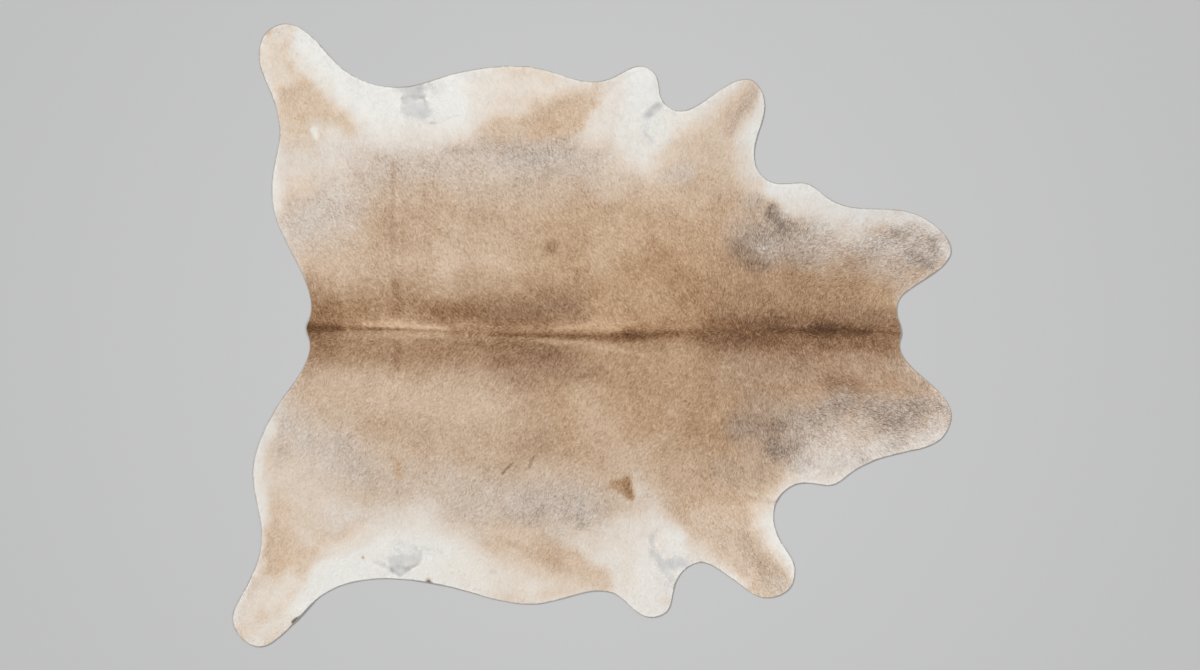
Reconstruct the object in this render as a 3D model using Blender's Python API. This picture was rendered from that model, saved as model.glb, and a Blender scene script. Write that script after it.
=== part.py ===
"""A hair-on cowhide rug lying flat: one skin with its trimmed outline, spine ridge and folds.

+X points from the tail to the neck along the spine, +Y to the flank with the straighter neck
edge, +Z up. The origin is on the floor under the middle of the rug's bounding box.
"""

import math

import bmesh
import bpy
import numpy as np
from mathutils.geometry import delaunay_2d_cdt

MM = 0.001

# Skin and hair, in millimetres.
LEATHER = 1.5  # the tanned skin alone, as seen at the cut edge
PILE = 2.5  # short hair lying flat on it
PILE_RUN_IN = 12.0  # the hair thins out over this distance towards the cut edge

# Mesh steps, in millimetres.
EDGE_STEP = 21.0
FIELD_STEP = 68.0
SPINE_STEP = 27.0
SPINE_ROWS = (0.0, 6.0, 15.0, 28.0, 42.0)  # distances of the denser rows from the ridge line
FOLD_STEP = 34.0
CLOSEST_POINTS = 20.0
EDGE_CLEARANCE = 30.0  # the plain field starts this far inside the cut edge
RIDGE_CLEARANCE = 20.0  # and the ridge's rows start this far inside it
FIELD_FROM_RIDGE = 67.0  # the plain field starts this far from the ridge line
SHARP_ANGLE = math.radians(40.0)

# Colour and surface of the tan hair.
HAIR_COLOUR = (0.52, 0.39, 0.29, 1.0)
HAIR_ROUGHNESS = 0.85

# The cut edge, region by region, in millimetres. Each pair is the distance along the spine
# from the tail end, and the distance out from the spine. A smooth curve runs through them.
UPPER_EDGE = {
    "tail": [(5, 10), (15, 40), (10, 140)],
    "rump": [(-100, 395), (-95, 540), (-80, 620)],
    "hind leg": [(-115, 780), (-140, 845), (-120, 960), (-65, 985), (60, 905), (130, 835)],
    "belly": [(335, 785), (425, 810), (650, 850), (760, 840), (940, 800)],
    "flank flap": [(1010, 825), (1080, 850), (1125, 820), (1140, 750), (1180, 710)],
    "fore leg": [(1310, 760), (1440, 800), (1470, 750), (1440, 580), (1455, 510)],
    "shoulder": [(1510, 475), (1605, 475), (1680, 425)],
    "neck lobe": [(1890, 390), (1980, 365), (2070, 260), (1950, 145)],
    "neck": [(1900, 95), (1900, 40), (1910, 0)],
}
LOWER_EDGE = {
    "tail": [(15, 25), (15, 65)],
    "rump": [(-60, 200), (-145, 355), (-165, 450), (-140, 620), (-140, 690)],
    "hind leg": [(-210, 860), (-230, 925), (-145, 1010), (-90, 985), (55, 845)],
    "belly": [(335, 795), (545, 840), (760, 870), (1000, 845)],
    "flank flap": [(1105, 915), (1155, 900), (1190, 800), (1270, 740)],
    "fore leg": [(1330, 765), (1400, 815), (1460, 850), (1550, 825), (1565, 740), (1530, 680)],
    "shoulder": [(1510, 545), (1595, 485), (1695, 490)],
    "neck lobe": [(1740, 460), (1925, 385), (2045, 335), (2070, 275), (1990, 155)],
    "neck": [(1905, 30)],
}

# The raised line of the spine, where the hide was folded: a row for each section.
# along: from the tail end. side: shift towards the upper flank. rise: height of the ridge.
# parting: depth of the furrow where the hair parts on its crest. All in millimetres.
SPINE_COLUMNS = ("along", "side", "rise", "parting")
SPINE = [
    (-10, 6, 3.5, 1.6),
    (65, 11, 6.0, 2.2),
    (130, 8, 5.5, 1.6),
    (210, 6, 5.0, 1.0),
    (295, 6, 5.5, 1.6),
    (370, 3, 4.0, 0.6),
    (470, -2, 3.0, 0.2),
    (625, -9, 4.0, 1.0),
    (770, -13, 6.0, 2.2),
    (905, -13, 8.0, 2.4),
    (950, -12, 7.0, 1.8),
    (1025, -13, 6.5, 2.2),
    (1170, -5, 3.5, 0.8),
    (1265, -3, 2.5, 0.3),
    (1365, 0, 3.5, 1.0),
    (1555, -3, 4.5, 1.6),
    (1685, 0, 6.0, 2.4),
    (1780, -3, 4.5, 1.2),
    (1930, -3, 3.5, 0.8),
]
RIDGE_HALF_WIDTH = 42.0
PARTING_HALF_WIDTH = 7.0

# Smaller folds and lifts, each a soft swell along a straight line, in millimetres.
# side: towards the upper flank is positive.
FOLD_COLUMNS = ("from_along", "from_side", "to_along", "to_side", "rise", "half_width")
FOLDS = {
    "fold across the loin": (288, 470, 288, 60, 1.5, 34),
    "the same fold below the spine": (284, -60, 284, -290, 1.5, 34),
    "pleat by the lower fore leg": (1240, -440, 1500, -540, 3.0, 34),
    "ripple beside that pleat": (1330, -420, 1470, -470, 1.5, 30),
    "swell of the upper bare patch": (320, 745, 400, 715, 2.5, 48),
    "swell of the lower bare patch": (270, -700, 345, -720, 2.5, 48),
    "wave in the upper flank flap": (1085, 760, 1100, 640, 2.5, 46),
    "wave in the lower flank flap": (1120, -820, 1130, -700, 2.5, 46),
    "lift of the lower hind leg edge": (-20, -915, 10, -880, 4.0, 40),
    "lift of the lower belly edge": (385, -800, 425, -806, 2.5, 40),
    "lift of the upper shoulder edge": (1660, 440, 1700, 420, 2.0, 44),
}


def swell(distance, half_width):
    """A soft bump of height 1 that is exactly nothing beyond half_width."""
    t = np.clip(np.abs(distance) / half_width, 0.0, 1.0)
    return (1.0 - t * t) ** 2


def edge_landmarks():
    """The landmarks once round the rug as (along, side), clockwise from above."""
    upper = [(along, out) for rows in UPPER_EDGE.values() for along, out in rows]
    lower = [(along, -out) for rows in LOWER_EDGE.values() for along, out in rows]
    return np.array(upper + lower[::-1], float)


def smooth_loop(landmarks, step):
    """Points on the closed cubic spline through the landmarks, about step apart."""
    count = len(landmarks)
    spans = np.linalg.norm(np.roll(landmarks, -1, axis=0) - landmarks, axis=1)
    system = np.zeros((count, count))
    bends = np.zeros((count, 2))
    for i in range(count):
        before, after = spans[i - 1], spans[i]
        following = (i + 1) % count
        system[i, i - 1] += before
        system[i, i] += 2.0 * (before + after)
        system[i, following] += after
        slope_after = (landmarks[following] - landmarks[i]) / after
        slope_before = (landmarks[i] - landmarks[i - 1]) / before
        bends[i] = 6.0 * (slope_after - slope_before)
    curvature = np.linalg.solve(system, bends)

    points = []
    for i in range(count):
        following = (i + 1) % count
        span = spans[i]
        for t in np.linspace(0.0, span, math.ceil(span / step), endpoint=False):
            left = span - t
            bend = (curvature[i] * left**3 + curvature[following] * t**3) / (6.0 * span)
            start = (landmarks[i] / span - curvature[i] * span / 6.0) * left
            end = (landmarks[following] / span - curvature[following] * span / 6.0) * t
            points.append(bend + start + end)
    return np.array(points)


def distance_to_loop(points, loop):
    """The distance from each point to the closed loop of straight pieces."""
    start = loop
    piece = np.roll(loop, -1, axis=0) - loop
    length2 = (piece * piece).sum(axis=1)
    nearest = np.empty(len(points))
    for i, point in enumerate(points):
        t = np.clip(((point - start) * piece).sum(axis=1) / length2, 0.0, 1.0)
        gaps = start + piece * t[:, None] - point
        nearest[i] = math.sqrt((gaps * gaps).sum(axis=1).min())
    return nearest


def inside_loop(points, loop):
    """True for each point inside the closed loop."""
    x, y = points[:, 0], points[:, 1]
    inside = np.zeros(len(points), bool)
    for (x1, y1), (x2, y2) in zip(loop, np.roll(loop, -1, axis=0)):
        crosses = (y1 > y) != (y2 > y)
        if crosses.any():
            inside ^= crosses & (x < x1 + (y - y1) * (x2 - x1) / (y2 - y1))
    return inside


def spine_section(along):
    """The side shift, rise and parting of the spine ridge at each distance along."""
    rows = dict(zip(SPINE_COLUMNS, np.array(SPINE, float).T))
    columns = ("side", "rise", "parting")
    return [np.interp(along, rows["along"], rows[name]) for name in columns]


def distance_to_ridge(points):
    """How far each point lies from the ridge line."""
    return np.abs(points[:, 1] - spine_section(points[:, 0])[0])


def fold_line(fold):
    """Where a smaller fold starts, and the way from there to its end."""
    start = np.array((fold["from_along"], fold["from_side"]), float)
    end = np.array((fold["to_along"], fold["to_side"]), float)
    return start, end - start


def fold_lift(points):
    """How far the folds raise the hide off the floor at each point."""
    side, rise, _ = spine_section(points[:, 0])
    lift = rise * swell(points[:, 1] - side, RIDGE_HALF_WIDTH)
    for row in FOLDS.values():
        fold = dict(zip(FOLD_COLUMNS, row))
        start, run = fold_line(fold)
        t = np.clip((points - start) @ run / (run @ run), 0.0, 1.0)
        gap = np.linalg.norm(points - start - t[:, None] * run, axis=1)
        lift = np.maximum(lift, fold["rise"] * swell(gap, fold["half_width"]))
    return lift


def hide_thickness(points, edge_distance):
    """Skin and lying hair at each point, thinner at the cut edge and at the parting."""
    run_in = np.clip(edge_distance / PILE_RUN_IN, 0.0, 1.0)
    side, _, parting = spine_section(points[:, 0])
    furrow = parting * swell(points[:, 1] - side, PARTING_HALF_WIDTH)
    return LEATHER + (PILE - furrow) * run_in


def inner_ring(loop, inset):
    """The loop moved inwards by inset, without points that come too near the edge."""
    along_edge = np.roll(loop, -1, axis=0) - np.roll(loop, 1, axis=0)
    along_edge /= np.linalg.norm(along_edge, axis=1)[:, None]
    inwards = np.column_stack((along_edge[:, 1], -along_edge[:, 0]))
    ring = loop + inwards * inset
    keep = inside_loop(ring, loop) & (distance_to_loop(ring, loop) > 0.9 * inset)
    return ring[keep]


def spine_points(loop):
    """Rows of points along the ridge, close enough to carry its shape."""
    steps = math.ceil((loop[:, 0].max() - loop[:, 0].min()) / SPINE_STEP)
    along = np.linspace(loop[:, 0].min(), loop[:, 0].max(), steps)
    side = spine_section(along)[0]
    offsets = sorted({sign * row for row in SPINE_ROWS for sign in (-1.0, 1.0)})
    return np.array([(a, s + offset) for offset in offsets for a, s in zip(along, side)])


def field_points(loop):
    """An even triangular grid over the rest of the hide."""
    low, high = loop.min(axis=0), loop.max(axis=0)
    row_gap = FIELD_STEP * math.sqrt(3.0) / 2.0
    rows = []
    for index, side in enumerate(np.arange(low[1], high[1], row_gap)):
        shift = FIELD_STEP / 2.0 if index % 2 else 0.0
        rows += [(along + shift, side) for along in np.arange(low[0], high[0], FIELD_STEP)]
    grid = np.array(rows)
    return grid[distance_to_ridge(grid) > FIELD_FROM_RIDGE]


def fold_points():
    """Points on and beside each smaller fold, so that the mesh follows its swell."""
    points = []
    for row in FOLDS.values():
        fold = dict(zip(FOLD_COLUMNS, row))
        start, run = fold_line(fold)
        length = np.linalg.norm(run)
        halfway_down = np.array((-run[1], run[0])) / length * fold["half_width"] / 2.0
        for t in np.linspace(0.0, 1.0, math.ceil(length / FOLD_STEP) + 1):
            for side in (-1.0, 0.0, 1.0):
                points.append(start + run * t + halfway_down * side)
    points = np.array(points)
    return points[distance_to_ridge(points) > SPINE_ROWS[-1]]


def thin_out(points, gap):
    """The points in order, leaving out each one nearer than gap to one already kept."""
    kept = []
    for point in points:
        if not kept or np.linalg.norm(np.array(kept) - point, axis=1).min() >= gap:
            kept.append(point)
    return np.array(kept)


def plan_points(loop):
    """Every point of the sheet in plan, the cut edge first."""
    ridge = spine_points(loop)
    ridge = ridge[inside_loop(ridge, loop)]
    ridge = ridge[distance_to_loop(ridge, loop) > RIDGE_CLEARANCE]
    field = np.concatenate((fold_points(), field_points(loop)))
    field = field[inside_loop(field, loop)]
    field = field[distance_to_loop(field, loop) > EDGE_CLEARANCE]
    field = thin_out(field, CLOSEST_POINTS)
    return np.concatenate((loop, inner_ring(loop, PILE_RUN_IN), ridge, field))


def close_edge(mesh, upper, lower, count):
    """The cut edge of the skin, from the underside up to the first hair."""
    for i in range(count):
        following = (i + 1) % count
        mesh.faces.new((upper[i], upper[following], lower[following], lower[i]))


def build_hide():
    """The whole hide as one closed sheet."""
    loop = smooth_loop(edge_landmarks(), EDGE_STEP)
    centre = (loop.min(axis=0) + loop.max(axis=0)) / 2.0

    outline = list(range(len(loop)))
    points = plan_points(loop).tolist()
    inside_only = 1
    merge_distance = 1e-6
    result = delaunay_2d_cdt(points, [], [outline], inside_only, merge_distance)
    plan = np.array([tuple(point) for point in result[0]])
    triangles = result[2]

    lift = fold_lift(plan)
    top = lift + hide_thickness(plan, distance_to_loop(plan, loop))

    mesh = bmesh.new()
    upper, lower = [], []
    for (along, side), high, low in zip(plan - centre, top, lift):
        upper.append(mesh.verts.new((along * MM, side * MM, high * MM)))
        lower.append(mesh.verts.new((along * MM, side * MM, low * MM)))
    for a, b, c in triangles:
        mesh.faces.new((upper[a], upper[b], upper[c]))
        mesh.faces.new((lower[c], lower[b], lower[a]))
    close_edge(mesh, upper, lower, len(loop))
    bmesh.ops.recalc_face_normals(mesh, faces=mesh.faces)

    data = bpy.data.meshes.new("hide")
    mesh.to_mesh(data)
    mesh.free()
    data.shade_smooth()
    data.set_sharp_from_angle(angle=SHARP_ANGLE)
    return data


def hair_material():
    """Short tan hair, matt all over."""
    material = bpy.data.materials.new("tan_hair_on_hide")
    material.use_nodes = True
    shader = material.node_tree.nodes["Principled BSDF"]
    shader.inputs["Base Color"].default_value = HAIR_COLOUR
    shader.inputs["Roughness"].default_value = HAIR_ROUGHNESS
    shader.inputs["Metallic"].default_value = 0.0
    return material


def main():
    for item in list(bpy.data.objects):
        bpy.data.objects.remove(item, do_unlink=True)
    data = build_hide()
    data.materials.append(hair_material())
    hide = bpy.data.objects.new("hide", data)
    bpy.context.scene.collection.objects.link(hide)
    bpy.context.view_layer.update()


main()
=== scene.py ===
import math
import bpy
import numpy as np
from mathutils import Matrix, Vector
from mathutils.bvhtree import BVHTree
from mathutils.geometry import delaunay_2d_cdt


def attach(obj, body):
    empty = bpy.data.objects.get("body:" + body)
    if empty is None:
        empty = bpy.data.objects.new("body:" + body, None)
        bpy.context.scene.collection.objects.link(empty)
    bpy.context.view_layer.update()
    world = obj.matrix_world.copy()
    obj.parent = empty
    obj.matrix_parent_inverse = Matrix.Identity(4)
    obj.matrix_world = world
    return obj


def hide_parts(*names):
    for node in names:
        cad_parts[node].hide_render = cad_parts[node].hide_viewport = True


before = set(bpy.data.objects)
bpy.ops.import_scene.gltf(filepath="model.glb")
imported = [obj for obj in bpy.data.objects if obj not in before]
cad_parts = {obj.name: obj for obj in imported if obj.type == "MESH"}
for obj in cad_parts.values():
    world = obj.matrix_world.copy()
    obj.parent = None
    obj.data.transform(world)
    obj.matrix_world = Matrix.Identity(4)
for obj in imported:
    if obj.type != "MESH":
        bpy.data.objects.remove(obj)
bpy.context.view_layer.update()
print("frame loaded")

# The hide is laid out in millimetres: along from the tail end, side from the spine.
plan = {
    "alongMiddle": 920.0,  # this point of the plan is the middle of the frame
    "sideMiddle": -12.5,
    "low": (-262.0, -1040.0),  # first corner of the maps
    "count": (802, 694),  # points of the maps
    "cell": 3.0,  # between two points
    "strayReach": 26.0,  # the edges of brush strokes wander less than this
}

noiseTable = 256  # lumps before a noise repeats
seeds = {
    "knife": 5,
    "hair": 7,
    "warp": 11,
    "mottle": 21,
    "clouds": 31,
    "locks": 41,
    "lockTone": 43,
    "worn": 44,
    "curl": 51,
}


def toFrame(points, heights):
    # plan millimetres to the frame's metres
    along = points[:, 0] - plan["alongMiddle"]
    side = points[:, 1] - plan["sideMiddle"]
    return np.column_stack((along, side, heights)) / 1000.0


def mapPoints():
    along = plan["low"][0] + plan["cell"] * np.arange(plan["count"][0])
    side = plan["low"][1] + plan["cell"] * np.arange(plan["count"][1])
    return np.stack(np.meshgrid(along, side, indexing="ij"), axis=-1)


def blendCorners(values, i, j, i2, j2, part):
    # straight between the four values round each point
    along, side = part[..., 0], part[..., 1]
    near = values[i, j] * (1 - along) + values[i2, j] * along
    far = values[i, j2] * (1 - along) + values[i2, j2] * along
    return near * (1 - side) + far * side


def readMap(values, points):
    # what a map holds at any points
    place = (points - plan["low"]) / plan["cell"]
    top = np.array(plan["count"]) - 1.001  # just short of the last point
    place = np.clip(place, 0.0, top)
    low = place.astype(int)
    i, j = low[:, 0], low[:, 1]
    return blendCorners(values, i, j, i + 1, j + 1, place - low)


def smoothStep(t):
    t = np.clip(t, 0.0, 1.0)
    return t * t * (3.0 - 2.0 * t)


def softNoise(points, size, seed):
    # smooth lumps from -1 to 1, about size millimetres across
    table = np.random.default_rng(seed).uniform(-1.0, 1.0, (noiseTable, noiseTable))
    place = points / size
    low = np.floor(place).astype(int)
    i, j = low[..., 0] % noiseTable, low[..., 1] % noiseTable
    i2, j2 = (i + 1) % noiseTable, (j + 1) % noiseTable
    return blendCorners(table, i, j, i2, j2, smoothStep(place - low))


def blur(values, widthAlong, widthSide):
    # a soft blur of a map, the widths in millimetres
    for axis, width in ((0, widthAlong), (1, widthSide)):
        reach = int(math.ceil(2.6 * width / plan["cell"]))  # the weights beyond are slight
        steps = np.arange(-reach, reach + 1)
        weights = np.exp(-0.5 * (steps * plan["cell"] / width) ** 2)
        weights /= weights.sum()
        padding = [(0, 0), (0, 0)]
        padding[axis] = (reach, reach)
        padded = np.pad(values, padding, mode="edge")
        length = values.shape[axis]
        values = sum(
            weight * np.take(padded, range(place, place + length), axis=axis)
            for place, weight in enumerate(weights)
        )
    return values


def strokeCover(points, start, end, widthStart, widthEnd, soft):
    # how much a brush stroke covers each point, from 0 to 1
    start = np.array(start, float)
    run = np.array(end, float) - start
    length2 = max(float(run @ run), 1e-6)
    t = np.clip((points - start) @ run / length2, 0.0, 1.0)
    gap = np.linalg.norm(points - start - t[..., None] * run, axis=-1)
    width = widthStart + (widthEnd - widthStart) * t
    return smoothStep((1.0 + soft - gap / width) / (2.0 * soft))


def blockOf(start, end, reach):
    # the part of the maps that a stroke can touch
    low = np.minimum(start, end) - reach - plan["low"]
    high = np.maximum(start, end) + reach - plan["low"]
    first = np.clip(np.floor(low / plan["cell"]), 0, plan["count"]).astype(int)
    last = np.clip(np.ceil(high / plan["cell"]) + 1, 0, plan["count"]).astype(int)
    return slice(first[0], last[0]), slice(first[1], last[1])


def brush(points, a0, s0, a1, s1, widthStart, widthEnd, strength=100, soft=100):
    # the block of the maps that a stroke can touch, and how much it covers there;
    # its strength and softness are in percent
    start, end = np.array((a0, s0), float), np.array((a1, s1), float)
    reach = max(widthStart, widthEnd) * (1 + soft / 100) + plan["strayReach"]
    block = blockOf(start, end, reach)
    cover = strokeCover(points[block], start, end, widthStart, widthEnd, soft / 100)
    return block, strength / 100 * cover


# The outline and the lie of the hide come from its solid.
outlineShape = {
    "upright": 0.2,  # the faces of the cut edge point up or down less than this
    "step": 6.0,  # between the sheet's edge points
    "wobble": 0.7,  # how far the knife strayed
    "wobbleLength": 34.0,
    "mapReach": 75.0,  # how far from the edge its distance is known
    "mapStep": 1.5,  # between the edge points that it is measured from
}


def readSolid(solid):
    mesh = solid.data
    points = np.empty(3 * len(mesh.vertices))
    mesh.vertices.foreach_get("co", points)
    points = points.reshape(-1, 3) * 1000.0
    points[:, 0] += plan["alongMiddle"]
    points[:, 1] += plan["sideMiddle"]
    return points, [tuple(face.vertices) for face in mesh.polygons]


def chainOutline(points, faces):
    # the upright faces of the cut edge, seen from above, are one closed loop
    neighbours = {}
    for face in faces:
        corners = points[list(face)]
        across = np.cross(corners[1] - corners[0], corners[2] - corners[0])
        if abs(across[2]) > outlineShape["upright"] * np.linalg.norm(across):
            continue
        ends = sorted({(round(x, 2), round(y, 2)) for x, y in corners[:, :2]})
        if len(ends) == 2:
            neighbours.setdefault(ends[0], set()).add(ends[1])
            neighbours.setdefault(ends[1], set()).add(ends[0])
    first = min(neighbours)
    loop = [first]
    before, here = None, first
    while True:
        ahead = [end for end in neighbours[here] if end != before]
        before, here = here, ahead[0]
        if here == first:
            break
        loop.append(here)
    return np.array(loop)


def roundOff(loop, step):
    # a smooth closed curve through the loop, its points one step apart
    fine = []
    before, after, beyond = np.roll(loop, 1, 0), np.roll(loop, -1, 0), np.roll(loop, -2, 0)
    for t in np.arange(0.0, 1.0, 0.125):  # eighths of each gap
        fine.append(
            0.5 * (
                2 * loop + (after - before) * t
                + (2 * before - 5 * loop + 4 * after - beyond) * t ** 2
                + (3 * loop - before - 3 * after + beyond) * t ** 3
            )
        )
    fine = np.stack(fine, axis=1).reshape(-1, 2)
    closed = np.vstack((fine, fine[:1]))
    run = np.concatenate(([0.0], np.cumsum(np.linalg.norm(np.diff(closed, axis=0), axis=1))))
    stops = np.linspace(0.0, run[-1], int(run[-1] / step), endpoint=False)
    return np.column_stack([np.interp(stops, run, closed[:, k]) for k in (0, 1)])


def wobbled(loop):
    ahead = np.roll(loop, -1, 0) - np.roll(loop, 1, 0)
    out = np.column_stack((ahead[:, 1], -ahead[:, 0]))
    out /= np.linalg.norm(out, axis=1)[:, None]
    stray = softNoise(loop, outlineShape["wobbleLength"], seeds["knife"])
    return loop + out * (outlineShape["wobble"] * stray)[:, None]


def mapInside(loop):
    # true inside the outline, by counting the crossings along each line of the map
    crossings = np.zeros(plan["count"], int)
    lowAlong, lowSide = plan["low"]
    for (a0, s0), (a1, s1) in zip(loop, np.roll(loop, -1, 0)):
        if a0 > a1:
            a0, s0, a1, s1 = a1, s1, a0, s0
        first = math.ceil((a0 - lowAlong) / plan["cell"])
        last = math.ceil((a1 - lowAlong) / plan["cell"])
        for i in range(first, last):
            share = (lowAlong + i * plan["cell"] - a0) / (a1 - a0)
            j = math.ceil((s0 + (s1 - s0) * share - lowSide) / plan["cell"])
            crossings[i, j] += 1
    return np.cumsum(crossings, axis=1) % 2 == 1


def mapEdgeDistance(loop, inside, grid):
    # millimetres to the cut edge, more than 0 inside
    reach = outlineShape["mapReach"]
    near = np.full(plan["count"], reach ** 2)
    for point in roundOff(loop, outlineShape["mapStep"]):
        block = blockOf(point, point, reach)
        offset = grid[block] - point
        near[block] = np.minimum(near[block], (offset ** 2).sum(-1))
    return np.where(inside, 1.0, -1.0) * np.sqrt(near)


hideForm = {
    "skin": 1.5,  # thickness of the tanned skin
    "pile": 2.5,  # of the hair lying on it
    "pileRunIn": 12.0,  # the hair thins out this far from the edge
    "smooth": (9.0, 9.0),  # takes the solid's facets out, along and across
    "spineSmooth": (14.0, 4.0),  # the same near the spine
    "spineBlend": (40.0, 75.0),  # where one passes into the other
    "leastShare": 0.02,  # keeps the blur from dividing by nothing
    "above": 100.0,  # higher than all of the solid
    "foldSoft": 95,  # percent
    "edgeCurl": (1.5, 15.0, 95.0),  # the rim curls up: most, how far in, and how often
}


def mapLift(points, faces, inside, distance, grid):
    # how far the underside of the skin is off the floor
    tree = BVHTree.FromPolygons([Vector(point) for point in points], faces)
    top = np.zeros(plan["count"])
    down = Vector((0, 0, -1))
    for i, j in zip(*np.nonzero(inside)):
        along, side = grid[i, j]
        hit = tree.ray_cast(Vector((along, side, hideForm["above"])), down)[0]
        if hit:
            top[i, j] = hit.z
    found = top > 0
    run = np.clip(distance / hideForm["pileRunIn"], 0.0, 1.0)
    lift = np.where(found, np.maximum(top - hideForm["skin"] - hideForm["pile"] * run, 0.0), 0.0)
    share = found.astype(float)
    even, sharp = (
        blur(lift, *widths) / np.maximum(blur(share, *widths), hideForm["leastShare"])
        for widths in (hideForm["smooth"], hideForm["spineSmooth"])
    )
    near, far = hideForm["spineBlend"]
    blend = smoothStep((np.abs(grid[..., 1]) - near) / (far - near))
    return sharp + (even - sharp) * blend


# Creases and small swells, as soft ridges (+) or troughs (-) in the skin:
# from along, from side, to along, to side, height, half width
skinFolds = {
    "parting tail": (0, 6, 150, 9, -1.6, 7),
    "parting loin": (150, 9, 430, 2, -0.7, 5),
    "parting ribs": (590, -8, 930, -13, -1.3, 6),
    "parting withers": (930, -13, 1090, -12, -1.5, 8),
    "parting neck": (1490, -1, 1760, 0, -1.3, 8),
    "crease in upper bare skin": (322, 746, 380, 745, -1.7, 5),
    "branch of it": (380, 745, 393, 724, -1.4, 5),
    "swell above it": (318, 768, 368, 772, 0.9, 16),
    "swell below it": (320, 722, 380, 715, 0.9, 16),
    "crease in lower bare skin": (298, -667, 357, -690, -1.5, 5),
    "its turn": (357, -690, 375, -716, -1.5, 5),
    "its side": (375, -716, 373, -738, -1.5, 5),
    "its return": (373, -738, 306, -779, -1.7, 5),
    "its foot": (306, -779, 250, -748, -1.5, 6),
    "swell inside it": (312, -712, 345, -722, 1.3, 20),
    "upper flap line": (1092, 618, 1090, 692, -0.8, 6),
    "lower flap line": (1116, -735, 1108, -645, -0.8, 6),
    "pleat": (1240, -440, 1282, -470, -1.2, 7),
    "long pleat": (1395, -519, 1505, -548, -1.4, 8),
    "long pleat back": (1400, -502, 1500, -530, 1.1, 11),
    "loin fold": (284, 540, 291, 235, -0.8, 9),
    "loin fold back": (303, 520, 306, 240, 0.4, 11),
    "loin fold low": (290, -70, 292, -270, -0.6, 9),
    "upper scar": (400, 664, 490, 696, -0.5, 5),
    "scratch": (635, -450, 666, -414, -0.5, 4),
    "second scratch": (720, -430, 741, -399, -0.5, 4),
}


def addFolds(lift, distance, grid):
    for *line, height, width in skinFolds.values():
        block, cover = brush(grid, *line, width, width, soft=hideForm["foldSoft"])
        lift[block] += height * cover
    curl, reach, size = hideForm["edgeCurl"]
    waves = 0.5 + 0.5 * softNoise(grid, size, seeds["curl"])
    lift += curl * waves * np.exp(-(np.maximum(distance, 0.0) / reach) ** 2)
    return np.maximum(lift, 0.0)


# The coat, as brush strokes one over the other. Columns: from along, from side, to along,
# to side, half width at each end, then in percent the depth of colour, ash and strength,
# and softness where it isn't 100
backStrokes = {
    "whole": (60, 0, 1850, 0, 230, 270, 54.5, 5, 90, 55),
    "loin tan up": (230, 310, 420, 340, 70, 80, 53, 0, 60),
    "loin tan up dark": (285, 300, 300, 370, 42, 42, 60, 0, 55),
    "ribs tan up": (540, 350, 880, 400, 75, 85, 51.5, 0, 55),
    "loin tan low": (180, -310, 360, -340, 80, 70, 50.5, 0, 55),
    "ribs tan low": (560, -340, 900, -350, 70, 90, 51, 0, 60),
    "ribs tan low deep": (708, -356, 802, -358, 42, 42, 60, 0, 60),
    "tail pale up": (60, 235, 200, 235, 55, 60, 43, 15, 60),
    "ribs pale up": (470, 220, 470, 320, 44, 40, 42, 10, 65),
    "loin pale up": (300, 222, 425, 240, 32, 34, 42, 5, 60),
    "pale up": (480, 200, 890, 236, 36, 44, 39.5, 5, 70),
    "tail pale low": (40, -190, 300, -200, 60, 55, 43, 10, 75, 90),
    "pale low": (300, -190, 600, -225, 55, 55, 42, 5, 70, 90),
    "pale low far": (460, -270, 500, -280, 45, 45, 42, 0, 70),
}

shoulderStrokes = {
    "whole": (1020, 60, 1330, 60, 330, 280, 59.5, -28, 90, 60),
    "low": (1020, -150, 1330, -180, 260, 230, 59, -28, 85, 60),
    "pale up back": (960, 220, 990, 310, 46, 56, 45, 0, 75),
    "pale up mid": (1030, 275, 1170, 312, 38, 40, 47.5, -15, 65),
    "pale low back": (880, -150, 940, -320, 50, 60, 43, 0, 75),
    "pale low mid": (1000, -230, 1010, -260, 30, 30, 50, -10, 60),
    "red up": (1140, 240, 1200, 170, 45, 45, 64.5, -28, 70),
    "red up end": (1210, 340, 1250, 350, 40, 40, 62, -20, 60),
    "up top": (1214, 350, 1325, 396, 42, 38, 61, -15, 65),
    "withers red": (1240, 110, 1340, 100, 50, 50, 66, -28, 70),
    "red low": (1244, -306, 1292, -385, 44, 50, 67, -28, 80),
    "back pale low fore": (1190, -250, 1200, -310, 34, 34, 52, -10, 70),
    "pale low fore": (1112, -384, 1170, -350, 32, 26, 47, 0, 55),
    "low foot": (1190, -400, 1300, -430, 50, 60, 56, -10, 80),
    "neck warm up": (1420, 120, 1840, 110, 105, 50, 64.5, -15, 85, 90),
    "neck warm up end": (1825, 112, 1860, 100, 24, 26, 52, -28, 70),
    "neck warm low": (1420, -110, 1860, -130, 110, 85, 64, 12, 85, 90),
    "neck warm low dark": (1685, -160, 1748, -196, 36, 42, 72, 10, 85),
}

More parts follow.
